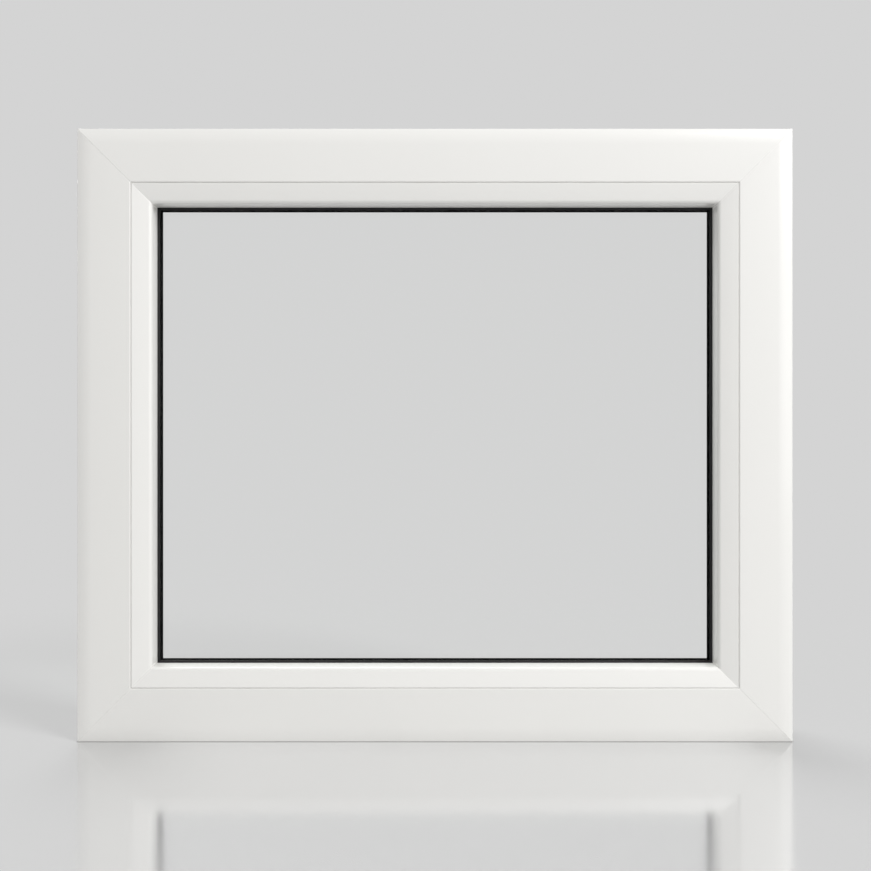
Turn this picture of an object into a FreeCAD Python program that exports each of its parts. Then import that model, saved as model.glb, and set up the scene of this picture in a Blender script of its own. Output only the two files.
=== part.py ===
# Fixed picture window: a welded hollow PVC frame, clip-in glazing beads, a sealed double-glazed unit and black seals.
# Row frame in millimetres: +Z up, +X to the right seen from the room, the room side faces -Y,
# and the origin lies under the middle of the sill.
# Sections are drawn as (inset, depth, corner radius). Inset runs from the window's outer edge towards the glass.
# Depth runs from the room-side face towards the outside.

import FreeCAD
import Part

import math
import os

from FreeCAD import Vector

# Whole window
WINDOW_WIDTH = 700.0
WINDOW_HEIGHT = 600.0
FRAME_DEPTH = 70.0

# Frame section
FACE_WIDTH = 53.0
PROFILE_WALL = 3.0
INNER_WEB = 1.5
EDGE_BEVEL_WIDTH = 8.0
EDGE_BEVEL_DROP = 2.9
EDGE_BEVEL_ROUND = 43.0
OUTER_CORNER_ROUND = 0.8
LEDGE_ROUND = 1.5
FRONT_CHAMBER_DEPTH = 8.0
DRAIN_CHAMBER_LEAD = 6.5
CHAMBER_ROUND = 1.0
KEY_CHANNEL_WIDTH = 6.0
KEY_CHANNEL_DEPTH = 1.5
KEY_CHANNEL_SETBACK = 9.0

# Outer leg of the frame, with its weathered slope and the slot that holds the outer seal
LEG_INSET = 69.5
LEG_THICKNESS = 17.0
LEG_SLOPE_DROP = 8.0
LEG_TIP_ROUND = 1.5
LEG_SLOPE_ROUND = 3.0
SEAL_SLOT_INSET = 60.5
SEAL_SLOT_MOUTH = 3.0
SEAL_SLOT_NECK = 1.6
SEAL_SLOT_DEPTH = 4.0
SEAL_SLOT_UNDERCUT = 0.9

# Glazing platform, bead groove and bead
PLATFORM_DROP = 5.0
BEAD_GROOVE_WIDTH = 5.2
BEAD_GROOVE_DEPTH = 6.0
GROOVE_NIB_REACH = 1.2
GROOVE_NIB_HEIGHT = 2.0
BEAD_WIDTH = 19.0
BEAD_TILT_DEG = 17.0
BEAD_NOSE_ROUND = 4.5
BEAD_SETBACK = 0.4
BEAD_EDGE_GAP = 0.35
BEAD_GAP_DEPTH = 2.0
BEAD_WALL = 1.5
SNAP_CLEARANCE = 0.3

# Double-glazed unit
PANE_THICKNESS = 4.0
PANE_ARRIS = 0.5
CAVITY_WIDTH = 12.0
GLASS_EDGE_GAP = 5.0
SEALANT_DEPTH = 5.0
SPACER_HEIGHT = 6.5
SPACER_WALL = 1.0
SPACER_SHOULDER = 3.0

# Seals
BEAD_SEAL_GAP = 2.5
BEAD_SEAL_REACH = 2.1
BEAD_SEAL_BASE = 6.0
OUTER_SEAL_GAP = 3.5
OUTER_SEAL_REACH = 2.8
SEAL_WALL = 1.2
SEAL_CONTACT = 2.2
SEAL_ROUND = 0.3

# Glazing packers
PACKER_LENGTH = 80.0
PACKER_CORNER_DISTANCE = 100.0
PACKER_CHANNEL_WIDTH = 5.0
PACKER_CHANNEL_HEIGHT = 2.0

# Drainage of the sill
SLOT_LENGTH = 30.0
SLOT_HEIGHT = 5.0
PLATFORM_SLOT_OFFSET = 70.0
FACE_SLOT_OFFSET = 140.0
FACE_SLOT_INSET = 16.0
CAP_MARGIN = 6.0
CAP_PROJECTION = 5.0
CAP_SLOPE = 3.0
CAP_WALL = 1.2
CAP_ROUND = 1.5
CAP_SPIGOT_DEPTH = 6.0
CAP_CLEARANCE = 0.2

# Fixing holes through the jambs
FIXING_HOLE_DIAMETER = 6.5
FIXING_SPACING = 300.0

# Fine grooves that the corner welds leave along the mitres
SEAM_WIDTH = 0.3
SEAM_DEPTH = 0.15

# Overlap of cutting tools past the faces that they open
CUT_PAST = 2.0

# Most of an edge that the arcs at its two ends may take up
ARC_SHARE = 0.98

# Places that follow from the sizes above
LEDGE = FACE_WIDTH
PLATFORM = FACE_WIDTH - PLATFORM_DROP
SIGHT_LINE = FACE_WIDTH + BEAD_WIDTH
LEG_FACE = FRAME_DEPTH - LEG_THICKNESS
OUTER_PANE_BACK = LEG_FACE - OUTER_SEAL_GAP
OUTER_PANE_FRONT = OUTER_PANE_BACK - PANE_THICKNESS
INNER_PANE_BACK = OUTER_PANE_FRONT - CAVITY_WIDTH
INNER_PANE_FRONT = INNER_PANE_BACK - PANE_THICKNESS
BEAD_DEPTH = INNER_PANE_FRONT - BEAD_SEAL_GAP
GLASS_EDGE = PLATFORM + GLASS_EDGE_GAP
SPACER_BACK = GLASS_EDGE + SEALANT_DEPTH
GROOVE_FLOOR = PLATFORM - BEAD_GROOVE_DEPTH
GROOVE_REAR = PROFILE_WALL + BEAD_GROOVE_WIDTH
STEEL_CHAMBER_FRONT = PROFILE_WALL + FRONT_CHAMBER_DEPTH + INNER_WEB
DRAIN_CHAMBER_FRONT = LEG_FACE - DRAIN_CHAMBER_LEAD
STEEL_CHAMBER_BACK = DRAIN_CHAMBER_FRONT - INNER_WEB
SEAL_SLOT_TOP = SEAL_SLOT_INSET + SEAL_SLOT_MOUTH
SEAL_TIP = SIGHT_LINE + BEAD_SEAL_REACH
MITRE_REACH = SEAL_TIP + CUT_PAST


def place(inset, depth, along=0.0):
    """Point of a section, in the sill's position, at a distance along the sill from its middle."""
    return Vector(along, depth - FRAME_DEPTH / 2, inset)


def arc_tangents(corners):
    """Length that each corner's arc takes of its two edges, shortened where neighbouring arcs would meet."""
    count = len(corners)
    wanted = []
    for index, (corner, radius) in enumerate(corners):
        before = corners[index - 1][0] - corner
        after = corners[(index + 1) % count][0] - corner
        wanted.append(radius / math.tan(before.getAngle(after) / 2))
    tangents = []
    for index, (corner, radius) in enumerate(corners):
        share = 1.0
        for other in (index - 1, (index + 1) % count):
            room = ARC_SHARE * (corners[other][0] - corner).Length
            share = min(share, room / max(room, wanted[index] + wanted[other]))
        tangents.append(wanted[index] * share)
    return tangents


def rounded_wire(corners):
    """Closed wire through 3-D corners given as (point, radius), each corner rounded by an arc of its radius."""
    count = len(corners)
    stretches = []
    for index, tangent in enumerate(arc_tangents(corners)):
        corner = corners[index][0]
        if tangent == 0:
            stretches.append((corner, corner, corner))
            continue
        before = corners[index - 1][0] - corner
        after = corners[(index + 1) % count][0] - corner
        before.normalize()
        after.normalize()
        half_angle = before.getAngle(after) / 2
        radius = tangent * math.tan(half_angle)
        bisector = before + after
        bisector.normalize()
        middle = corner + bisector * (radius / math.sin(half_angle) - radius)
        stretches.append((corner + before * tangent, middle, corner + after * tangent))
    edges = []
    for index, (start, middle, end) in enumerate(stretches):
        if (end - start).Length > 0:
            edges.append(Part.Arc(start, middle, end).toShape())
        edges.append(Part.LineSegment(end, stretches[(index + 1) % count][0]).toShape())
    return Part.Wire(edges)


def section_wire(corners, along):
    """Wire of a section's (inset, depth, radius) corners at a place along the member."""
    return rounded_wire([(place(inset, depth, along), radius) for inset, depth, radius in corners])


def extrusion(length, outline, holes=()):
    """Straight hollow extrusion of a section, centred on the middle of its side."""
    start = -length / 2
    wires = [section_wire(outline, start)] + [section_wire(hole, start) for hole in holes]
    face = Part.makeFace(wires, "Part::FaceMakerBullseye")
    return face.extrude(Vector(length, 0, 0))


def through_prism(corners):
    """Prism over (along, inset) corners that runs through the whole depth of the window."""
    points = [Vector(along, -FRAME_DEPTH, inset) for along, inset in corners]
    return Part.Face(Part.makePolygon(points + points[:1])).extrude(Vector(0, 2 * FRAME_DEPTH, 0))


def mitre_wedge(length):
    """Space between the two corner diagonals of a side, which leaves a member its mitred ends."""
    half = length / 2
    return through_prism([(-half, 0), (half, 0), (half - MITRE_REACH, MITRE_REACH), (MITRE_REACH - half, MITRE_REACH)])


def mitred(length, outline, holes=()):
    """Member of one side with both ends cut along the corner diagonals."""
    return extrusion(length, outline, holes).common(mitre_wedge(length))


def side_length(side):
    """Length of a side along the window's outer edge."""
    return WINDOW_WIDTH if side in ("sill", "head") else WINDOW_HEIGHT


def stand(shape, side):
    """Moves a shape made in the sill's position to its own side of the window."""
    turn = {"sill": 0, "head": 180, "left": 90, "right": -90}[side]
    foot = {
        "sill": Vector(0, 0, 0),
        "head": Vector(0, 0, WINDOW_HEIGHT),
        "left": Vector(-WINDOW_WIDTH / 2, 0, WINDOW_HEIGHT / 2),
        "right": Vector(WINDOW_WIDTH / 2, 0, WINDOW_HEIGHT / 2),
    }[side]
    moved = shape.copy()
    moved.rotate(Vector(0, 0, 0), Vector(0, 1, 0), turn)
    moved.translate(foot)
    return moved


def key_channel(centre):
    """Corners of a shallow keying channel in the outer face, run through from the outside to the room side."""
    rear = centre + KEY_CHANNEL_WIDTH / 2
    front = centre - KEY_CHANNEL_WIDTH / 2
    return [
        (0, rear, 0),
        (KEY_CHANNEL_DEPTH, rear - KEY_CHANNEL_DEPTH, 0),
        (KEY_CHANNEL_DEPTH, front + KEY_CHANNEL_DEPTH, 0),
        (0, front, 0),
    ]


def frame_outline():
    """Outside of the frame section: soft outer edge, bead groove, glazing platform and weathered outer leg."""
    neck_end = LEG_FACE + SEAL_SLOT_NECK
    slot_end = LEG_FACE + SEAL_SLOT_DEPTH
    nib_front = GROOVE_REAR - GROOVE_NIB_REACH
    nib_foot = PLATFORM - GROOVE_NIB_HEIGHT
    room_side = [
        (0, EDGE_BEVEL_DROP, OUTER_CORNER_ROUND),
        (EDGE_BEVEL_WIDTH, 0, EDGE_BEVEL_ROUND),
        (LEDGE, 0, LEDGE_ROUND),
    ]
    bead_groove = [
        (LEDGE, PROFILE_WALL, 0),
        (GROOVE_FLOOR, PROFILE_WALL, CHAMBER_ROUND),
        (GROOVE_FLOOR, GROOVE_REAR, CHAMBER_ROUND),
        (nib_foot, GROOVE_REAR, 0),
        (nib_foot, nib_front, 0),
        (PLATFORM, nib_front, 0),
    ]
    seal_slot = [
        (PLATFORM, LEG_FACE, CHAMBER_ROUND),
        (SEAL_SLOT_INSET, LEG_FACE, 0),
        (SEAL_SLOT_INSET, neck_end, 0),
        (SEAL_SLOT_INSET - SEAL_SLOT_UNDERCUT, neck_end, 0),
        (SEAL_SLOT_INSET - SEAL_SLOT_UNDERCUT, slot_end, 0),
        (SEAL_SLOT_TOP + SEAL_SLOT_UNDERCUT, slot_end, 0),
        (SEAL_SLOT_TOP + SEAL_SLOT_UNDERCUT, neck_end, 0),
        (SEAL_SLOT_TOP, neck_end, 0),
        (SEAL_SLOT_TOP, LEG_FACE, 0),
    ]
    outer_leg = [
        (LEG_INSET, LEG_FACE, LEG_TIP_ROUND),
        (LEG_INSET - LEG_SLOPE_DROP, FRAME_DEPTH, LEG_SLOPE_ROUND),
        (0, FRAME_DEPTH, OUTER_CORNER_ROUND),
    ]
    channels = key_channel(FRAME_DEPTH - KEY_CHANNEL_SETBACK) + key_channel(KEY_CHANNEL_SETBACK)
    return room_side + bead_groove + seal_slot + outer_leg + channels


def chamber(low, high, front, back, corner_round=CHAMBER_ROUND):
    """Rectangular chamber of a hollow section."""
    return [
        (low, front, corner_round),
        (high, front, corner_round),
        (high, back, corner_round),
        (low, back, corner_round),
    ]


def leg_slope_inset(depth):
    """Inset of the outer leg's weathered slope at a depth."""
    return LEG_INSET - LEG_SLOPE_DROP * (depth - LEG_FACE) / LEG_THICKNESS


def frame_chambers():
    """Four chambers of the frame: room side, reinforcement, drainage and outer leg."""
    floor_over_channel = KEY_CHANNEL_DEPTH + PROFILE_WALL
    under_platform = PLATFORM - PROFILE_WALL
    outside = FRAME_DEPTH - PROFILE_WALL
    leg_front = LEG_FACE + SEAL_SLOT_DEPTH + INNER_WEB
    slope_wall = PROFILE_WALL / math.cos(math.atan(LEG_SLOPE_DROP / LEG_THICKNESS))
    leg_chamber = [
        (PLATFORM, leg_front, CHAMBER_ROUND),
        (leg_slope_inset(leg_front) - slope_wall, leg_front, CHAMBER_ROUND),
        (leg_slope_inset(outside) - slope_wall, outside, CHAMBER_ROUND),
        (PLATFORM, outside, CHAMBER_ROUND),
    ]
    return [
        chamber(EDGE_BEVEL_WIDTH, GROOVE_FLOOR - PROFILE_WALL, PROFILE_WALL, PROFILE_WALL + FRONT_CHAMBER_DEPTH),
        chamber(PROFILE_WALL, under_platform, STEEL_CHAMBER_FRONT, STEEL_CHAMBER_BACK),
        chamber(floor_over_channel, under_platform, DRAIN_CHAMBER_FRONT, outside),
        leg_chamber,
    ]


def slot_prism(across, up, centre, travel):
    """Prism of a slot with round ends, SLOT_LENGTH by SLOT_HEIGHT along two directions, run along its travel."""
    half_length = across * (SLOT_LENGTH / 2)
    half_height = up * (SLOT_HEIGHT / 2)
    corners = [
        centre - half_length - half_height,
        centre + half_length - half_height,
        centre + half_length + half_height,
        centre - half_length + half_height,
    ]
    return Part.Face(rounded_wire([(corner, SLOT_HEIGHT / 2) for corner in corners])).extrude(travel)


def drain_slots():
    """Slots that lead water from the rebate into the drainage chamber and on through the outer face of the sill."""
    slots = []
    for hand in (-1, 1):
        platform_centre = place(
            PLATFORM - PROFILE_WALL - CUT_PAST,
            DRAIN_CHAMBER_FRONT + CHAMBER_ROUND + SLOT_HEIGHT / 2,
            hand * PLATFORM_SLOT_OFFSET,
        )
        through_platform = Vector(0, 0, PROFILE_WALL + 2 * CUT_PAST)
        slots.append(slot_prism(Vector(1, 0, 0), Vector(0, 1, 0), platform_centre, through_platform))
        face_centre = place(FACE_SLOT_INSET, FRAME_DEPTH - PROFILE_WALL - CUT_PAST, hand * FACE_SLOT_OFFSET)
        through_face = Vector(0, PROFILE_WALL + 2 * CUT_PAST, 0)
        slots.append(slot_prism(Vector(1, 0, 0), Vector(0, 0, 1), face_centre, through_face))
    return slots


def fixing_holes():
    """Screw holes from the glazing platform to the outer face, through the middle of the reinforcement chamber."""
    depth = (STEEL_CHAMBER_FRONT + STEEL_CHAMBER_BACK) / 2
    holes = []
    for hand in (-1, 1):
        foot = place(-CUT_PAST, depth, hand * FIXING_SPACING / 2)
        holes.append(Part.makeCylinder(FIXING_HOLE_DIAMETER / 2, PLATFORM + 2 * CUT_PAST, foot))
    return holes


def seam_skins():
    """Sections of the space above a seam's floor, over the room-side face and over the outer face of the frame."""
    bevel_fall = EDGE_BEVEL_DROP / EDGE_BEVEL_WIDTH
    outer_floor = FRAME_DEPTH - SEAM_DEPTH
    room_side = [
        (-CUT_PAST, EDGE_BEVEL_DROP + CUT_PAST * bevel_fall + SEAM_DEPTH, 0),
        (EDGE_BEVEL_WIDTH, SEAM_DEPTH, EDGE_BEVEL_ROUND),
        (LEDGE + CUT_PAST, SEAM_DEPTH, 0),
        (LEDGE + CUT_PAST, -CUT_PAST, 0),
        (-CUT_PAST, -CUT_PAST, 0),
    ]
    outer_side = [
        (-CUT_PAST, outer_floor, 0),
        (LEG_INSET - LEG_SLOPE_DROP - SEAM_DEPTH, outer_floor, LEG_SLOPE_ROUND),
        (LEG_INSET - SEAM_DEPTH, LEG_FACE, 0),
        (LEG_INSET + CUT_PAST, LEG_FACE, 0),
        (LEG_INSET + CUT_PAST, FRAME_DEPTH + CUT_PAST, 0),
        (-CUT_PAST, FRAME_DEPTH + CUT_PAST, 0),
    ]
    return [room_side, outer_side]


def weld_seams(length):
    """Cutters for the grooves along both mitres of a member, each as wide as the member's half of the seam."""
    corner = -length / 2
    own_half = SEAM_WIDTH / math.sqrt(2)
    slab = through_prism(
        [
            (corner - CUT_PAST, -CUT_PAST),
            (corner - CUT_PAST + own_half, -CUT_PAST),
            (corner + MITRE_REACH + own_half, MITRE_REACH),
            (corner + MITRE_REACH, MITRE_REACH),
        ]
    )
    grooves = [extrusion(length, skin).common(slab) for skin in seam_skins()]
    return grooves + [groove.mirror(Vector(0, 0, 0), Vector(1, 0, 0)) for groove in grooves]


def frame_member(side):
    """One mitred length of the hollow frame, with its weld seams and its drain slots or fixing holes."""
    length = side_length(side)
    member = mitred(length, frame_outline(), frame_chambers()).Solids[0].cut(weld_seams(length))
    if side == "sill":
        member = member.cut(drain_slots())
    if side in ("left", "right"):
        member = member.cut(fixing_holes())
    return member


def bead_slope_depth(inset):
    """Depth of the bead's sloping face at an inset."""
    return BEAD_SETBACK + (inset - LEDGE) * math.tan(math.radians(BEAD_TILT_DEG))


def glazing_bead(side):
    """Hollow bead that sits on the ledge, snaps into the groove and stands on the platform beside the glass."""
    leg_front = PROFILE_WALL + SNAP_CLEARANCE
    leg_rear = leg_front + BEAD_WALL
    hook_top = PLATFORM - GROOVE_NIB_HEIGHT - SNAP_CLEARANCE
    hook_tip = GROOVE_REAR - SNAP_CLEARANCE
    toe = GROOVE_FLOOR + SNAP_CLEARANCE
    edge_round = BEAD_SETBACK
    outline = [
        (LEDGE + BEAD_EDGE_GAP, BEAD_SETBACK, edge_round),
        (SIGHT_LINE, bead_slope_depth(SIGHT_LINE), BEAD_NOSE_ROUND),
        (SIGHT_LINE, BEAD_DEPTH, edge_round),
        (PLATFORM, BEAD_DEPTH, 0),
        (PLATFORM, BEAD_DEPTH - BEAD_WALL, 0),
        (LEDGE, BEAD_DEPTH - BEAD_WALL, edge_round),
        (LEDGE, leg_rear, edge_round),
        (hook_top, leg_rear, 0),
        (hook_top, hook_tip, edge_round),
        (toe, leg_rear, edge_round),
        (toe, leg_front, edge_round),
        (LEDGE, leg_front, 0),
        (LEDGE, BEAD_GAP_DEPTH, 0),
        (LEDGE + BEAD_EDGE_GAP, BEAD_GAP_DEPTH, 0),
    ]
    slope_wall = BEAD_WALL / math.cos(math.radians(BEAD_TILT_DEG))
    floor = LEDGE + BEAD_WALL
    ceiling = SIGHT_LINE - BEAD_WALL
    hollow = [
        (floor, bead_slope_depth(floor) + slope_wall, CHAMBER_ROUND),
        (ceiling, bead_slope_depth(ceiling) + slope_wall, BEAD_NOSE_ROUND - BEAD_WALL),
        (ceiling, BEAD_DEPTH - BEAD_WALL, CHAMBER_ROUND),
        (floor, BEAD_DEPTH - BEAD_WALL, CHAMBER_ROUND),
    ]
    return mitred(side_length(side), outline, [hollow])


def bead_seal(side):
    """Black lip on the back of a bead, from the bead's sight line to the room-side face of the glass."""
    outline = [
        (SIGHT_LINE - BEAD_SEAL_BASE, BEAD_DEPTH, SEAL_ROUND),
        (SIGHT_LINE - BEAD_SEAL_BASE, BEAD_DEPTH + SEAL_WALL, SEAL_ROUND),
        (SIGHT_LINE - SEAL_WALL, INNER_PANE_FRONT - SEAL_WALL, SEAL_ROUND),
        (SEAL_TIP - SEAL_CONTACT, INNER_PANE_FRONT, SEAL_ROUND),
        (SEAL_TIP, INNER_PANE_FRONT, SEAL_ROUND),
        (SEAL_TIP, INNER_PANE_FRONT - SEAL_WALL, SEAL_ROUND),
        (SIGHT_LINE, BEAD_DEPTH, SEAL_ROUND),
    ]
    return mitred(side_length(side), outline)


def outer_seal(side):
    """Black push-in seal: a barbed foot in the leg's slot and a lip against the outer face of the glass."""
    neck_end = LEG_FACE + SEAL_SLOT_NECK + SNAP_CLEARANCE
    foot_end = LEG_FACE + SEAL_SLOT_DEPTH - SNAP_CLEARANCE
    foot_low = SEAL_SLOT_INSET + SNAP_CLEARANCE
    foot_high = SEAL_SLOT_TOP - SNAP_CLEARANCE
    barb = SEAL_SLOT_UNDERCUT
    tip = LEG_INSET + OUTER_SEAL_REACH
    base_low = SEAL_SLOT_INSET - SEAL_SLOT_UNDERCUT
    lip_root = LEG_INSET - LEG_SLOPE_DROP / 2
    outline = [
        (base_low, LEG_FACE, 0),
        (base_low, LEG_FACE - SEAL_WALL, SEAL_ROUND),
        (SEAL_SLOT_TOP, LEG_FACE - SEAL_WALL, SEAL_ROUND),
        (tip - SEAL_CONTACT, OUTER_PANE_BACK, SEAL_ROUND),
        (tip, OUTER_PANE_BACK, SEAL_ROUND),
        (tip, OUTER_PANE_BACK + SEAL_WALL, SEAL_ROUND),
        (lip_root, LEG_FACE, 0),
        (foot_high, LEG_FACE, 0),
        (foot_high, neck_end, 0),
        (foot_high + barb, neck_end, 0),
        (foot_high, foot_end, SEAL_ROUND),
        (foot_low, foot_end, SEAL_ROUND),
        (foot_low - barb, neck_end, 0),
        (foot_low, neck_end, 0),
        (foot_low, LEG_FACE, 0),
    ]
    return mitred(side_length(side), outline)


def pane(front):
    """Sheet of glass with ground edges, its room-side face at a depth."""
    width = WINDOW_WIDTH - 2 * GLASS_EDGE
    height = WINDOW_HEIGHT - 2 * GLASS_EDGE
    sheet = Part.makeBox(width, PANE_THICKNESS, height, place(GLASS_EDGE, front, -width / 2))
    return sheet.makeChamfer(PANE_ARRIS, sheet.Edges)


def spacer_outline():
    """Outside of the spacer bar, flat towards the cavity and shouldered towards the sealant."""
    sight = SPACER_BACK + SPACER_HEIGHT
    shoulder = SPACER_BACK + SPACER_SHOULDER
    return [
        (SPACER_BACK, INNER_PANE_BACK + SPACER_SHOULDER, 0),
        (shoulder, INNER_PANE_BACK, 0),
        (sight, INNER_PANE_BACK, 0),
        (sight, OUTER_PANE_FRONT, 0),
        (shoulder, OUTER_PANE_FRONT, 0),
        (SPACER_BACK, OUTER_PANE_FRONT - SPACER_SHOULDER, 0),
    ]


def spacer_bar(side):
    """Hollow bar that holds the panes apart."""
    low = SPACER_BACK + SPACER_WALL
    high = SPACER_BACK + SPACER_HEIGHT - SPACER_WALL
    front = INNER_PANE_BACK + SPACER_SHOULDER + SPACER_WALL
    back = OUTER_PANE_FRONT - SPACER_SHOULDER - SPACER_WALL
    return mitred(side_length(side), spacer_outline(), [chamber(low, high, front, back, corner_round=0)])


def edge_sealant(side):
    """Sealant that fills the edge of the unit from the panes' edges to the spacer bar."""
    shoulder = SPACER_BACK + SPACER_SHOULDER
    edge = GLASS_EDGE + PANE_ARRIS
    outline = [
        (edge, INNER_PANE_BACK, 0),
        (shoulder, INNER_PANE_BACK, 0),
        (SPACER_BACK, INNER_PANE_BACK + SPACER_SHOULDER, 0),
        (SPACER_BACK, OUTER_PANE_FRONT - SPACER_SHOULDER, 0),
        (shoulder, OUTER_PANE_FRONT, 0),
        (edge, OUTER_PANE_FRONT, 0),
    ]
    return mitred(side_length(side), outline)


def packers(side):
    """Two bridge packers between the platform and the edge of the glass."""
    first = PLATFORM + PACKER_CHANNEL_HEIGHT
    feet = [
        INNER_PANE_FRONT,
        INNER_PANE_FRONT + PACKER_CHANNEL_WIDTH,
        OUTER_PANE_BACK - PACKER_CHANNEL_WIDTH,
        OUTER_PANE_BACK,
    ]
    outline = [
        (GLASS_EDGE, feet[0], 0),
        (GLASS_EDGE, feet[3], 0),
        (PLATFORM, feet[3], 0),
        (PLATFORM, feet[2], 0),
        (first, feet[2], 0),
        (first, feet[1], 0),
        (PLATFORM, feet[1], 0),
        (PLATFORM, feet[0], 0),
    ]
    offset = side_length(side) / 2 - GLASS_EDGE - PACKER_CORNER_DISTANCE
    pair = []
    for hand in (-1, 1):
        packer = extrusion(PACKER_LENGTH, outline)
        packer.translate(Vector(hand * offset, 0, 0))
        pair.append(packer)
    return Part.makeCompound(pair)


def drain_cap(hand):
    """Hooded cover over a face slot of the sill: open below, with a hollow spigot in the slot."""
    length = SLOT_LENGTH + 2 * CAP_MARGIN
    low = FACE_SLOT_INSET - SLOT_HEIGHT / 2 - CAP_MARGIN / 2
    high = FACE_SLOT_INSET + SLOT_HEIGHT / 2 + CAP_MARGIN
    front = FRAME_DEPTH + CAP_PROJECTION
    hood = extrusion(
        length,
        [
            (low, FRAME_DEPTH, 0),
            (high, FRAME_DEPTH, CAP_WALL / 2),
            (high - CAP_SLOPE, front, CAP_ROUND),
            (low, front, CAP_WALL / 2),
        ],
    )
    hollow = extrusion(
        length - 2 * CAP_WALL,
        [
            (low - CUT_PAST, FRAME_DEPTH - CUT_PAST, 0),
            (high - CAP_WALL, FRAME_DEPTH - CUT_PAST, 0),
            (high - CAP_WALL, FRAME_DEPTH, 0),
            (high - CAP_SLOPE - CAP_WALL, front - CAP_WALL, CAP_ROUND / 2),
            (low - CUT_PAST, front - CAP_WALL, 0),
        ],
    )
    half_height = SLOT_HEIGHT / 2 - CAP_CLEARANCE
    spigot_end = FRAME_DEPTH - CAP_SPIGOT_DEPTH
    spigot_length = SLOT_LENGTH - SLOT_HEIGHT
    ribs = []
    for bottom in (FACE_SLOT_INSET - half_height, FACE_SLOT_INSET + half_height - CAP_WALL):
        rib = [
            (bottom, spigot_end, 0),
            (bottom + CAP_WALL, spigot_end, 0),
            (bottom + CAP_WALL, front - CAP_WALL / 2, 0),
            (bottom, front - CAP_WALL / 2, 0),
        ]
        ribs.append(extrusion(spigot_length, rib))
    cap = hood.cut(hollow).fuse(ribs).removeSplitter()
    cap.translate(Vector(hand * FACE_SLOT_OFFSET, 0, 0))
    return cap


def window():
    """Every piece of the window by its node name, in place."""
    pieces = {}
    members = {
        "frame_member": frame_member,
        "glazing_bead": glazing_bead,
        "bead_seal": bead_seal,
        "outer_seal": outer_seal,
        "spacer_bar": spacer_bar,
        "edge_sealant": edge_sealant,
        "packers": packers,
    }
    for side in ("sill", "head", "left", "right"):
        for name, make in members.items():
            pieces[f"{side}_{name}"] = stand(make(side), side)
    pieces["inner_pane"] = pane(INNER_PANE_FRONT)
    pieces["outer_pane"] = pane(OUTER_PANE_FRONT)
    pieces["left_drain_cap"] = drain_cap(-1)
    pieces["right_drain_cap"] = drain_cap(1)
    return pieces


os.makedirs("parts", exist_ok=True)
for node, shape in window().items():
    shape.exportStep(f"parts/{node}.step")
    print(f"{node}: {len(shape.Solids)} solid, {shape.Volume / 1000:.1f} cm3, valid {shape.isValid()}")
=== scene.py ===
import math

import bpy
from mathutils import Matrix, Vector


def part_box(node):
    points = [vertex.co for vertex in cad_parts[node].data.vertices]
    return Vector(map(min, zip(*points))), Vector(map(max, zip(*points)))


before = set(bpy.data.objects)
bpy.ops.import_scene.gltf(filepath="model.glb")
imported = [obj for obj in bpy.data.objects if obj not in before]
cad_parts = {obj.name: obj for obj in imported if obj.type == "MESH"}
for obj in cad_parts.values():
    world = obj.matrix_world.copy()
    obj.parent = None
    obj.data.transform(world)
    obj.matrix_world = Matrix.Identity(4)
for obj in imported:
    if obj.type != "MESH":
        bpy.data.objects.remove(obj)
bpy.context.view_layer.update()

# The window's outer size, read from its own members, in metres
SILL_LOW, SILL_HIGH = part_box("sill_frame_member")
HEAD_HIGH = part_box("head_frame_member")[1]
HALF_WIDTH = SILL_HIGH.x
HALF_HEIGHT = HEAD_HIGH.z / 2
FACE_Y = SILL_LOW.y

# The words that the pieces' names are made of
SIDES = ("sill", "head", "left", "right")
LEVEL_SIDES = ("sill", "head")
HANDS = ("left", "right")
PANES = ("inner_pane", "outer_pane")

# Camera: straight at the middle of the window, with the photograph's framing
CAMERA_DISTANCE = 1.0
PICTURE_WIDTH_AT_FACE = 0.8498
SENSOR_WIDTH = 36.0
CAMERA_SHIFT = (0.00063, -0.00029)

# Studio levels, in linear light
BACKDROP = (0.658, 0.658, 0.658)
AMBIENT = (0.595, 0.595, 0.591)
LAMP_DISTANCE = 2.6

# Floor: its levels in linear light, then its shine, then its sizes in metres
FLOOR_GLOW = 0.26
FLOOR_BOUNCE = 0.58
FLOOR_TINT = (0.30, 0.30, 0.30)
# Painted contact shadow: the black that the floor's matt colour fades to along the window's foot
PAINTED_CONTACT_SHADE = (0.0, 0.0, 0.0)
FLOOR_SHINE = 0.66
FLOOR_BLUR = 0.12
FLOOR_SIZE = 40.0
FLOOR_FADE = (0.55, 1.2)
# How far out from the window's foot the painted contact shadow reaches, in metres
CONTACT_SHADOW = 0.0016
SOFT_EDGE_DROP = 0.0029

# White PVC: colours, patches per metre, and how the patches change tone and roughness
PVC_WHITE = (0.84, 0.833, 0.81)
PVC_SHADE = (0.80, 0.792, 0.768)
PVC_PATCHES = 9.0
PVC_SHADE_SHARE = 0.25
PVC_ROUGHNESS = (0.22, 0.26)
PVC_RELIEF = 0.000012
PVC_DUST = 0.10
PVC_IOR = 1.53

# Corner welds of the PVC: the hairline and the scraped band beside it, in metres
WELD_GREY = (0.50, 0.495, 0.48)
WELD_LINE = 0.0005
WELD_BAND = 0.002
WELD_GREY_SHARE = 0.08
WELD_DULLING = 0.12
WELD_SINKING = -2.0

# Die lines: noise cycles per metre along a member and across it
LINES_ALONG = 3.0
LINES_ACROSS = 900.0
STRETCH_LEVEL = (LINES_ALONG, LINES_ACROSS, LINES_ACROSS)
STRETCH_UPRIGHT = (LINES_ACROSS, LINES_ACROSS, LINES_ALONG)

# Patches and specks: where the noise begins and ends to count
PATCH_EDGES = (0.2, 0.8)
SPECK_EDGES = (0.62, 0.78)
SPECKS_PER_PATCH = 60.0

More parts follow.
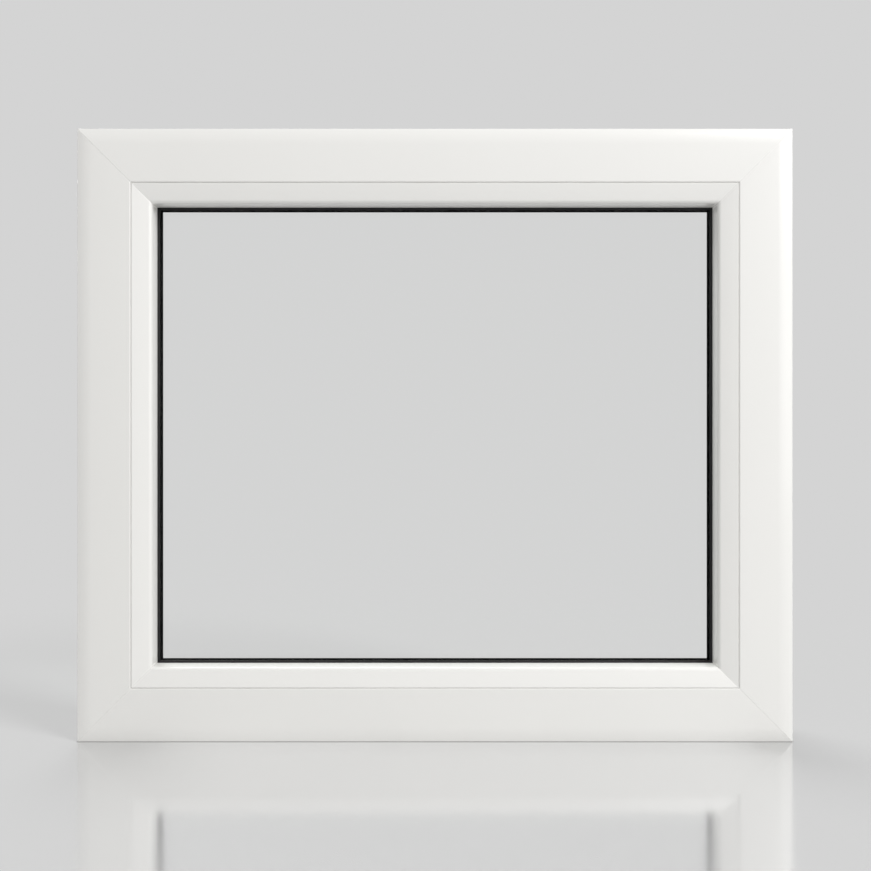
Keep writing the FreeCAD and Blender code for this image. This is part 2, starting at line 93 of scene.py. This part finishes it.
# Dust: how level a face must be to catch it, its grains per metre, and how thin it gets between them
DUST = (0.55, 0.53, 0.49)
DUST_FACING = (0.2, 1.0)
DUST_GRAINS = 500.0
DUST_GRAIN_EDGES = (0.3, 0.7)
DUST_COVER = (0.5, 1.0)
DUST_DULLING = 0.8

# Sealing rubber
RUBBER_BLACK = (0.012, 0.012, 0.0125)
RUBBER_BLOOM = (0.022, 0.022, 0.023)
RUBBER_PATCHES = 30.0
RUBBER_BLOOM_SHARE = 0.6
RUBBER_ROUGHNESS = (0.48, 0.62)
RUBBER_RELIEF = 0.00003
RUBBER_DUST = 0.06
RUBBER_GLINT = 0.2
RUBBER_IOR = 1.5

# Moulded pieces
MOULDED_PATCHES = 40.0
MOULDED_RELIEF = 0.00004
MOULDED_IOR = 1.5
SPACER_DARK = (0.012, 0.012, 0.0125)
SPACER_WORN = (0.02, 0.02, 0.021)
SPACER_ROUGHNESS = (0.45, 0.6)
SEALANT_DARK = (0.012, 0.012, 0.013)
SEALANT_SHEEN = (0.025, 0.025, 0.027)
SEALANT_ROUGHNESS = (0.5, 0.7)
PACKER_BLUE = (0.08, 0.2, 0.45)
PACKER_PALE = (0.14, 0.28, 0.52)
PACKER_ROUGHNESS = (0.4, 0.55)
PACKER_DUST = 0.05
CAP_ROUGHNESS = (0.32, 0.42)
CAP_DUST = 0.12
NO_DUST = 0.0

# Glass
GLASS_TINT = (0.997, 0.9995, 0.998)
GLASS_GLINT = (0.15, 0.15, 0.15)
GLASS_SHADE = (0.95, 0.96, 0.955)
GLASS_PATCHES = 6.0
GLASS_ROUGHNESS = (0.0, 0.006)
GLASS_IOR = 1.52

# Smooth shading: corners this close are one, and edges steeper than this stay sharp
SAME_CORNER = 0.000002
SHARP_EDGE = math.radians(32)

# Ends of a mask
RISING = (0.0, 1.0)
FALLING = (1.0, 0.0)


# Node helpers

def link(tree, source, target):
    """Joins one output socket to one input socket."""
    tree.links.new(source, target)


def feed(tree, socket, value):
    """Sets an input socket, from another node's output or from a plain value."""
    if isinstance(value, bpy.types.NodeSocket):
        link(tree, value, socket)
    elif value is not None:
        socket.default_value = value


def math_node(tree, operation, first, second=None, clamp=False):
    """Output of a Math node."""
    node = tree.nodes.new("ShaderNodeMath")
    node.operation = operation
    node.use_clamp = clamp
    feed(tree, node.inputs[0], first)
    feed(tree, node.inputs[1], second)
    return node.outputs[0]


def vector_node(tree, operation, first, second=None):
    """Vector Math node."""
    node = tree.nodes.new("ShaderNodeVectorMath")
    node.operation = operation
    feed(tree, node.inputs[0], first)
    feed(tree, node.inputs[1], second)
    return node


def split_vector(tree, vector):
    """X, Y and Z outputs of a vector, by name."""
    node = tree.nodes.new("ShaderNodeSeparateXYZ")
    link(tree, vector, node.inputs[0])
    return node.outputs


def ranged(tree, value, given, wanted, kind="LINEAR"):
    """Output of a Map Range node that takes one pair of ends to another."""
    node = tree.nodes.new("ShaderNodeMapRange")
    node.interpolation_type = kind
    feed(tree, node.inputs["Value"], value)
    feed(tree, node.inputs["From Min"], given[0])
    feed(tree, node.inputs["From Max"], given[1])
    feed(tree, node.inputs["To Min"], wanted[0])
    feed(tree, node.inputs["To Max"], wanted[1])
    return node.outputs["Result"]


def noise(tree, position, scale, detail=2.0, roughness=0.5):
    """Value output of a Noise Texture, from 0 to 1."""
    node = tree.nodes.new("ShaderNodeTexNoise")
    feed(tree, node.inputs["Vector"], position)
    feed(tree, node.inputs["Scale"], scale)
    feed(tree, node.inputs["Detail"], detail)
    feed(tree, node.inputs["Roughness"], roughness)
    return node.outputs["Fac"]


def colour_mix(tree, share, first, second):
    """Colour output of a Mix node."""
    node = tree.nodes.new("ShaderNodeMix")
    node.data_type = "RGBA"
    colours = [socket for socket in node.inputs if socket.type == "RGBA"]
    feed(tree, node.inputs[0], share)
    for socket, value in zip(colours, (first, second)):
        feed(tree, socket, value if isinstance(value, bpy.types.NodeSocket) else (*value, 1.0))
    return [socket for socket in node.outputs if socket.type == "RGBA"][0]


def shader_mix(tree, share, first, second):
    """Shader output of a Mix Shader node."""
    node = tree.nodes.new("ShaderNodeMixShader")
    feed(tree, node.inputs["Fac"], share)
    link(tree, first, node.inputs[1])
    link(tree, second, node.inputs[2])
    return node.outputs["Shader"]


def shade_group(name, vectors, values, results):
    """Empty shader node group with named sockets: vectors and values go in, and values come out."""
    group = bpy.data.node_groups.new(name, "ShaderNodeTree")
    for socket_name in vectors:
        group.interface.new_socket(socket_name, in_out="INPUT", socket_type="NodeSocketVector")
    for socket_name in values:
        group.interface.new_socket(socket_name, in_out="INPUT", socket_type="NodeSocketFloat")
    for socket_name in results:
        group.interface.new_socket(socket_name, in_out="OUTPUT", socket_type="NodeSocketFloat")
    given = group.nodes.new("NodeGroupInput").outputs
    result = group.nodes.new("NodeGroupOutput").inputs
    return group, given, result


def place_group(tree, group, **values):
    """Outputs of a group placed in a material; underscores in a value's name stand for a socket's spaces."""
    node = tree.nodes.new("ShaderNodeGroup")
    node.node_tree = group
    for name, value in values.items():
        feed(tree, node.inputs[name.replace("_", " ")], value)
    return node.outputs


# Effects that several finishes share

def make_drawn_lines():
    """Faint lines that an extrusion die leaves along a member: noise drawn out along the run."""
    group, given, result = shade_group("drawn lines", ["Position", "Stretch"], [], ["Height"])
    drawn = vector_node(group, "MULTIPLY", given["Position"], given["Stretch"]).outputs["Vector"]
    link(group, noise(group, drawn, 1.0, detail=3.0, roughness=0.6), result["Height"])
    return group


def make_cloudiness():
    """Soft uneven patches of gloss and tone, and fine specks, from 0 to 1."""
    group, given, result = shade_group("cloudiness", ["Position"], ["Patches per metre"], ["Patch", "Speck"])
    broad = noise(group, given["Position"], given["Patches per metre"], detail=4.0)
    link(group, ranged(group, broad, PATCH_EDGES, RISING, "SMOOTHSTEP"), result["Patch"])
    fine_scale = math_node(group, "MULTIPLY", given["Patches per metre"], SPECKS_PER_PATCH)
    fine = noise(group, given["Position"], fine_scale)
    link(group, ranged(group, fine, SPECK_EDGES, RISING), result["Speck"])
    return group


def make_corner_weld():
    """Masks of the hairline and of the scraped band beside it where two mitred members are welded."""
    widths = ["Line", "Band"]
    sizes = ["Half width", "Half height", *widths]
    group, given, result = shade_group("corner weld", ["Position"], sizes, widths)
    place = split_vector(group, given["Position"])
    sideways = math_node(group, "ABSOLUTE", place["X"])
    from_side = math_node(group, "SUBTRACT", given["Half width"], sideways)
    lifted = math_node(group, "SUBTRACT", place["Z"], given["Half height"])
    from_end = math_node(group, "SUBTRACT", given["Half height"], math_node(group, "ABSOLUTE", lifted))
    apart = math_node(group, "ABSOLUTE", math_node(group, "SUBTRACT", from_side, from_end))
    distance = math_node(group, "MULTIPLY", apart, math.sqrt(0.5))
    for width in widths:
        link(group, ranged(group, distance, (0.0, given[width]), FALLING, "SMOOTHSTEP"), result[width])
    return group


def make_settled_dust():
    """Mask of fine dust, thickest on what faces up."""
    group, given, result = shade_group("settled dust", ["Position"], ["Amount"], ["Mask"])
    facing = split_vector(group, group.nodes.new("ShaderNodeNewGeometry").outputs["Normal"])
    upward = ranged(group, facing["Z"], DUST_FACING, RISING, "SMOOTHSTEP")
    grains = noise(group, given["Position"], DUST_GRAINS, detail=3.0, roughness=0.6)
    cover = ranged(group, grains, DUST_GRAIN_EDGES, DUST_COVER, "SMOOTHSTEP")
    patchy = math_node(group, "MULTIPLY", upward, cover)
    link(group, math_node(group, "MULTIPLY", patchy, given["Amount"]), result["Mask"])
    return group


DRAWN_LINES = make_drawn_lines()
CLOUDINESS = make_cloudiness()
CORNER_WELD = make_corner_weld()
SETTLED_DUST = make_settled_dust()


# Finishes

def show(tree, surface):
    """Makes a shader the one that the material shows."""
    output = tree.nodes.new("ShaderNodeOutputMaterial")
    link(tree, surface, output.inputs["Surface"])


def start_material(name):
    """New material with a Principled shader, and the object-space position that its effects read."""
    material = bpy.data.materials.new(name)
    material.use_nodes = True
    tree = material.node_tree
    tree.nodes.clear()
    shader = tree.nodes.new("ShaderNodeBsdfPrincipled")
    position = tree.nodes.new("ShaderNodeTexCoord").outputs["Object"]
    show(tree, shader.outputs["BSDF"])
    return material, tree, shader, position


def bumped(tree, shader, height, depth):
    """Fine relief of a depth in metres."""
    bump = tree.nodes.new("ShaderNodeBump")
    bump.inputs["Strength"].default_value = 1.0
    bump.inputs["Distance"].default_value = depth
    link(tree, height, bump.inputs["Height"])
    link(tree, bump.outputs["Normal"], shader.inputs["Normal"])


def placed_weld(tree, position):
    """Corner weld masks of this window."""
    return place_group(
        tree, CORNER_WELD, Position=position,
        Half_width=HALF_WIDTH, Half_height=HALF_HEIGHT, Line=WELD_LINE, Band=WELD_BAND,
    )


def white_pvc(name, stretch):
    """Extruded white PVC: satin gloss, faint die lines, scraped corner welds and a little dust."""
    material, tree, shader, position = start_material(name)
    lines = place_group(tree, DRAWN_LINES, Position=position, Stretch=stretch)
    cloud = place_group(tree, CLOUDINESS, Position=position, Patches_per_metre=PVC_PATCHES)
    weld = placed_weld(tree, position)
    dust = place_group(tree, SETTLED_DUST, Position=position, Amount=PVC_DUST)
    shade = math_node(tree, "MULTIPLY", cloud["Patch"], PVC_SHADE_SHARE)
    body = colour_mix(tree, shade, PVC_WHITE, PVC_SHADE)
    seam = math_node(tree, "MULTIPLY", weld["Line"], WELD_GREY_SHARE)
    seamed = colour_mix(tree, seam, body, WELD_GREY)
    link(tree, colour_mix(tree, dust["Mask"], seamed, DUST), shader.inputs["Base Color"])
    gloss = ranged(tree, cloud["Patch"], RISING, PVC_ROUGHNESS)
    scraped = math_node(tree, "MULTIPLY", weld["Band"], WELD_DULLING)
    dulled = math_node(tree, "MULTIPLY", dust["Mask"], DUST_DULLING)
    rough = math_node(tree, "ADD", gloss, math_node(tree, "ADD", scraped, dulled), clamp=True)
    link(tree, rough, shader.inputs["Roughness"])
    sunk = math_node(tree, "MULTIPLY", weld["Line"], WELD_SINKING)
    bumped(tree, shader, math_node(tree, "ADD", lines["Height"], sunk), PVC_RELIEF)
    shader.inputs["IOR"].default_value = PVC_IOR
    return material


def black_rubber(name, stretch):
    """Extruded sealing rubber: black with a faint grey bloom."""
    material, tree, shader, position = start_material(name)
    lines = place_group(tree, DRAWN_LINES, Position=position, Stretch=stretch)
    cloud = place_group(tree, CLOUDINESS, Position=position, Patches_per_metre=RUBBER_PATCHES)
    dust = place_group(tree, SETTLED_DUST, Position=position, Amount=RUBBER_DUST)
    bloom = math_node(tree, "MULTIPLY", cloud["Patch"], RUBBER_BLOOM_SHARE)
    body = colour_mix(tree, bloom, RUBBER_BLACK, RUBBER_BLOOM)
    link(tree, colour_mix(tree, dust["Mask"], body, DUST), shader.inputs["Base Color"])
    link(tree, ranged(tree, cloud["Patch"], RISING, RUBBER_ROUGHNESS), shader.inputs["Roughness"])
    bumped(tree, shader, lines["Height"], RUBBER_RELIEF)
    shader.inputs["IOR"].default_value = RUBBER_IOR
    shader.inputs["Specular IOR Level"].default_value = RUBBER_GLINT
    return material


def moulded_plastic(name, body, worn, roughness, dusty):
    """Moulded piece with an even fine texture."""
    material, tree, shader, position = start_material(name)
    cloud = place_group(tree, CLOUDINESS, Position=position, Patches_per_metre=MOULDED_PATCHES)
    dust = place_group(tree, SETTLED_DUST, Position=position, Amount=dusty)
    plain = colour_mix(tree, cloud["Patch"], body, worn)
    link(tree, colour_mix(tree, dust["Mask"], plain, DUST), shader.inputs["Base Color"])
    link(tree, ranged(tree, cloud["Patch"], RISING, roughness), shader.inputs["Roughness"])
    bumped(tree, shader, cloud["Speck"], MOULDED_RELIEF)
    shader.inputs["IOR"].default_value = MOULDED_IOR
    return material


def clear_glass(name):
    """Float glass that lets lamps through, with a trace of haze."""
    material, tree, shader, position = start_material(name)
    cloud = place_group(tree, CLOUDINESS, Position=position, Patches_per_metre=GLASS_PATCHES)
    shader.inputs["Base Color"].default_value = (*GLASS_TINT, 1.0)
    shader.inputs["Transmission Weight"].default_value = 1.0
    shader.inputs["IOR"].default_value = GLASS_IOR
    shader.inputs["Specular Tint"].default_value = (*GLASS_GLINT, 1.0)
    link(tree, ranged(tree, cloud["Patch"], RISING, GLASS_ROUGHNESS), shader.inputs["Roughness"])
    clear = tree.nodes.new("ShaderNodeBsdfTransparent")
    clear.inputs["Color"].default_value = (*GLASS_SHADE, 1.0)
    lamp_ray = tree.nodes.new("ShaderNodeLightPath").outputs["Is Shadow Ray"]
    either = shader_mix(tree, lamp_ray, shader.outputs["BSDF"], clear.outputs["BSDF"])
    link(tree, either, tree.nodes["Material Output"].inputs["Surface"])
    return material


# Dressing of the window's own pieces

def make_smoothing():
    """Geometry nodes that join corners that coincide and shade gentle curves smooth, but not real edges."""
    group = bpy.data.node_groups.new("soft shading", "GeometryNodeTree")
    group.interface.new_socket("Geometry", in_out="INPUT", socket_type="NodeSocketGeometry")
    group.interface.new_socket("Geometry", in_out="OUTPUT", socket_type="NodeSocketGeometry")
    given = group.nodes.new("NodeGroupInput")
    weld = group.nodes.new("GeometryNodeMergeByDistance")
    weld.inputs["Distance"].default_value = SAME_CORNER
    smooth = group.nodes.new("GeometryNodeSetShadeSmooth")
    smooth.domain = "FACE"
    sharp = group.nodes.new("GeometryNodeSetShadeSmooth")
    sharp.domain = "EDGE"
    sharp.inputs["Shade Smooth"].default_value = False
    angle = group.nodes.new("GeometryNodeInputMeshEdgeAngle")
    steep = group.nodes.new("FunctionNodeCompare")
    steep.data_type = "FLOAT"
    steep.operation = "GREATER_THAN"
    steep.inputs["B"].default_value = SHARP_EDGE
    link(group, angle.outputs["Unsigned Angle"], steep.inputs["A"])
    link(group, steep.outputs["Result"], sharp.inputs["Selection"])
    result = group.nodes.new("NodeGroupOutput")
    steps = [given, weld, smooth, sharp, result]
    for step, following in zip(steps, steps[1:]):
        link(group, step.outputs["Geometry"], following.inputs["Geometry"])
    return group


def dress(node, material, smoothing):
    """Gives a CAD node its finish and smooth shading."""
    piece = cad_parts[node]
    piece.data.materials.clear()
    piece.data.materials.append(material)
    modifier = piece.modifiers.new("soft shading", "NODES")
    modifier.node_group = smoothing


def extruded(make, name):
    """Finish of the extruded pieces, by whether they lie level: the die lines follow each piece's run."""
    return {
        True: make(f"{name}_level", STRETCH_LEVEL),
        False: make(f"{name}_upright", STRETCH_UPRIGHT),
    }


def dress_window():
    """Finishes of every node."""
    smoothing = make_smoothing()
    pvc = extruded(white_pvc, "white_pvc")
    rubber = extruded(black_rubber, "black_rubber")
    glass = clear_glass("clear_glass")
    spacer = moulded_plastic("spacer_plastic", SPACER_DARK, SPACER_WORN, SPACER_ROUGHNESS, NO_DUST)
    sealant = moulded_plastic("edge_sealant", SEALANT_DARK, SEALANT_SHEEN, SEALANT_ROUGHNESS, NO_DUST)
    packer = moulded_plastic("packer_plastic", PACKER_BLUE, PACKER_PALE, PACKER_ROUGHNESS, PACKER_DUST)
    cap = moulded_plastic("white_cap_plastic", PVC_WHITE, PVC_SHADE, CAP_ROUGHNESS, CAP_DUST)
    for side in SIDES:
        level = side in LEVEL_SIDES
        dress(f"{side}_frame_member", pvc[level], smoothing)
        dress(f"{side}_glazing_bead", pvc[level], smoothing)
        dress(f"{side}_bead_seal", rubber[level], smoothing)
        dress(f"{side}_outer_seal", rubber[level], smoothing)
        dress(f"{side}_spacer_bar", spacer, smoothing)
        dress(f"{side}_edge_sealant", sealant, smoothing)
        dress(f"{side}_packers", packer, smoothing)
    for pane in PANES:
        dress(pane, glass, smoothing)
    for hand in HANDS:
        dress(f"{hand}_drain_cap", cap, smoothing)


# Studio

def light_world():
    """Even grey surroundings: the backdrop's grey where they are seen, and soft fill light elsewhere."""
    world = bpy.data.worlds.new("studio")
    world.use_nodes = True
    tree = world.node_tree
    tree.nodes.clear()
    path = tree.nodes.new("ShaderNodeLightPath")
    seen = math_node(tree, "MAXIMUM", path.outputs["Is Camera Ray"], path.outputs["Is Glossy Ray"])
    seen = math_node(tree, "MAXIMUM", seen, path.outputs["Is Transmission Ray"])
    background = tree.nodes.new("ShaderNodeBackground")
    link(tree, colour_mix(tree, seen, AMBIENT, BACKDROP), background.inputs["Color"])
    output = tree.nodes.new("ShaderNodeOutputWorld")
    link(tree, background.outputs["Background"], output.inputs["Surface"])
    bpy.context.scene.world = world


def foot_distance(tree, position):
    """Distance of a floor point from the window's underside, which ends behind the soft front edge."""
    place = split_vector(tree, position)
    beside = math_node(tree, "SUBTRACT", math_node(tree, "ABSOLUTE", place["X"]), HALF_WIDTH)
    half_depth = -FACE_Y - SOFT_EDGE_DROP
    ahead = math_node(tree, "SUBTRACT", math_node(tree, "ABSOLUTE", place["Y"]), half_depth)
    return math_node(tree, "MAXIMUM", beside, ahead)


def matt_floor(tree, clear_of_painted_shade):
    """Matt part of the floor, which takes the shadows, glows a little and throws light back at the window;
    its colour and glow fade to black at the window's foot, a painted contact shadow.
    """
    matt = tree.nodes.new("ShaderNodeBsdfDiffuse")
    link(tree, colour_mix(tree, clear_of_painted_shade, PAINTED_CONTACT_SHADE, FLOOR_TINT), matt.inputs["Color"])
    scattered = tree.nodes.new("ShaderNodeLightPath").outputs["Is Diffuse Ray"]
    thrown_back = math_node(tree, "MULTIPLY", scattered, FLOOR_BOUNCE)
    # The floor's own glow also fades out under the painted contact shadow
    shown = math_node(tree, "MULTIPLY", clear_of_painted_shade, FLOOR_GLOW)
    glow = tree.nodes.new("ShaderNodeEmission")
    link(tree, math_node(tree, "ADD", thrown_back, shown), glow.inputs["Strength"])
    lit = tree.nodes.new("ShaderNodeAddShader")
    link(tree, matt.outputs["BSDF"], lit.inputs[0])
    link(tree, glow.outputs["Emission"], lit.inputs[1])
    return lit.outputs["Shader"]


def floor_finish():
    """Pale glossy floor with the window's shadow, partly cast by lamps and partly painted along its foot, and
    its mirror image, which runs out into the backdrop.
    """
    material = bpy.data.materials.new("studio_floor")
    material.use_nodes = True
    tree = material.node_tree
    tree.nodes.clear()
    position = tree.nodes.new("ShaderNodeTexCoord").outputs["Object"]
    foot = foot_distance(tree, position)
    # Painted contact shadow: 0 at the window's foot, rising to 1 a little way out; it darkens the floor's
    # matt colour and glow
    clear_of_painted_shade = ranged(tree, foot, (0.0, CONTACT_SHADOW), RISING, "SMOOTHSTEP")
    shine = tree.nodes.new("ShaderNodeBsdfGlossy")
    shine.inputs["Roughness"].default_value = FLOOR_BLUR
    polished = shader_mix(tree, FLOOR_SHINE, matt_floor(tree, clear_of_painted_shade), shine.outputs["BSDF"])
    backdrop = tree.nodes.new("ShaderNodeEmission")
    backdrop.inputs["Color"].default_value = (*BACKDROP, 1.0)
    from_middle = vector_node(tree, "LENGTH", position).outputs["Value"]
    far = ranged(tree, from_middle, FLOOR_FADE, RISING, "SMOOTHSTEP")
    show(tree, shader_mix(tree, far, polished, backdrop.outputs["Emission"]))
    return material


def lay_floor():
    """Level floor under the window."""
    half = FLOOR_SIZE / 2
    corners = [(-half, -half, 0), (half, -half, 0), (half, half, 0), (-half, half, 0)]
    mesh = bpy.data.meshes.new("studio_floor")
    mesh.from_pydata(corners, [], [(0, 1, 2, 3)])
    mesh.materials.append(floor_finish())
    floor = bpy.data.objects.new("studio_floor", mesh)
    bpy.context.scene.collection.objects.link(floor)
    return floor


def hang_lamp(lamp, receivers, swing, lift):
    """Hangs a lamp turned to the window's middle, so many degrees to the right of the front and up."""
    middle = Vector((0.0, 0.0, HALF_HEIGHT))
    swing, lift = math.radians(swing), math.radians(lift)
    towards = Vector((math.sin(swing) * math.cos(lift), -math.cos(swing) * math.cos(lift), math.sin(lift)))
    holder = bpy.data.objects.new(lamp.name, lamp)
    holder.location = middle + LAMP_DISTANCE * towards
    holder.rotation_euler = towards.to_track_quat("Z", "Y").to_euler()
    holder.light_linking.receiver_collection = receivers
    holder.visible_transmission = False
    bpy.context.scene.collection.objects.link(holder)
    return holder


def soft_lamp(name, receivers, swing, lift, power, width, height=None):
    """Soft lamp, square unless a height is given."""
    lamp = bpy.data.lights.new(name, "AREA")
    lamp.shape = "RECTANGLE"
    lamp.size = width
    lamp.size_y = height or width
    lamp.energy = power
    hang_lamp(lamp, receivers, swing, lift)


def shadow_lamp(name, receivers, swing, lift, strength, spread):
    """Far lamp that casts a shadow and leaves no glare; its spread in degrees softens the shadow."""
    lamp = bpy.data.lights.new(name, "SUN")
    lamp.angle = math.radians(spread)
    lamp.energy = strength
    holder = hang_lamp(lamp, receivers, swing, lift)
    holder.visible_glossy = False
    return holder


def lamp_targets(name, pieces, state="INCLUDE"):
    """Collection that makes a lamp see only these pieces, or all but these."""
    targets = bpy.data.collections.new(name)
    for piece in pieces:
        targets.objects.link(piece)
    for entry in targets.collection_objects:
        entry.light_linking.link_state = state
    return targets


def light_window(floor):
    """Soft lamps, mostly from the front right; the rim and side lamps are for the beads alone."""
    beads = [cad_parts[f"{side}_glazing_bead"] for side in SIDES]
    unlit = [floor, *(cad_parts[pane] for pane in PANES)]
    window_only = lamp_targets("window_only", unlit, "EXCLUDE")
    soft_lamp("key_lamp", window_only, swing=50, lift=35, power=33.0, width=1.6)
    soft_lamp("low_lamp", window_only, swing=47, lift=9, power=7.3, width=1.2)
    soft_lamp("top_lamp", window_only, swing=0, lift=80, power=8.9, width=2.0)
    beads_only = lamp_targets("beads_only", beads)
    soft_lamp("side_lamp", beads_only, swing=75, lift=4, power=6.5, width=0.5, height=1.6)
    soft_lamp("left_rim_lamp", beads_only, swing=-162, lift=51, power=38.0, width=1.1)
    soft_lamp("right_rim_lamp", beads_only, swing=175, lift=51, power=16.0, width=1.1)
    outer_side = lamp_targets("outer_side", unlit + beads, "EXCLUDE")
    soft_lamp("outer_lamp", outer_side, swing=-150, lift=20, power=15.0, width=0.8)


def shade_floor(floor):
    """Far lamps that light the floor alone; the one from behind casts the jambs' shadows only."""
    jambs = [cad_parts[f"{hand}_frame_member"] for hand in HANDS]
    floor_only = lamp_targets("floor_only", [floor])
    shadow_lamp("key_shadow", floor_only, swing=54, lift=35, strength=3.9, spread=20.0)
    rim_shadow = shadow_lamp("rim_shadow", floor_only, swing=-161, lift=75, strength=2.9, spread=16.0)
    rim_shadow.light_linking.blocker_collection = lamp_targets("jambs", jambs)


def set_camera():
    """Camera straight in front of the window's middle."""
    camera = bpy.data.cameras.new("camera")
    camera.sensor_width = SENSOR_WIDTH
    camera.lens = SENSOR_WIDTH * CAMERA_DISTANCE / PICTURE_WIDTH_AT_FACE
    camera.shift_x, camera.shift_y = CAMERA_SHIFT
    holder = bpy.data.objects.new("camera", camera)
    holder.location = (0.0, FACE_Y - CAMERA_DISTANCE, HALF_HEIGHT)
    holder.rotation_euler = (math.radians(90), 0, 0)
    bpy.context.scene.collection.objects.link(holder)
    bpy.context.scene.camera = holder


dress_window()
light_world()
studio_floor = lay_floor()
light_window(studio_floor)
shade_floor(studio_floor)
set_camera()
bpy.context.scene.view_settings.view_transform = "Standard"
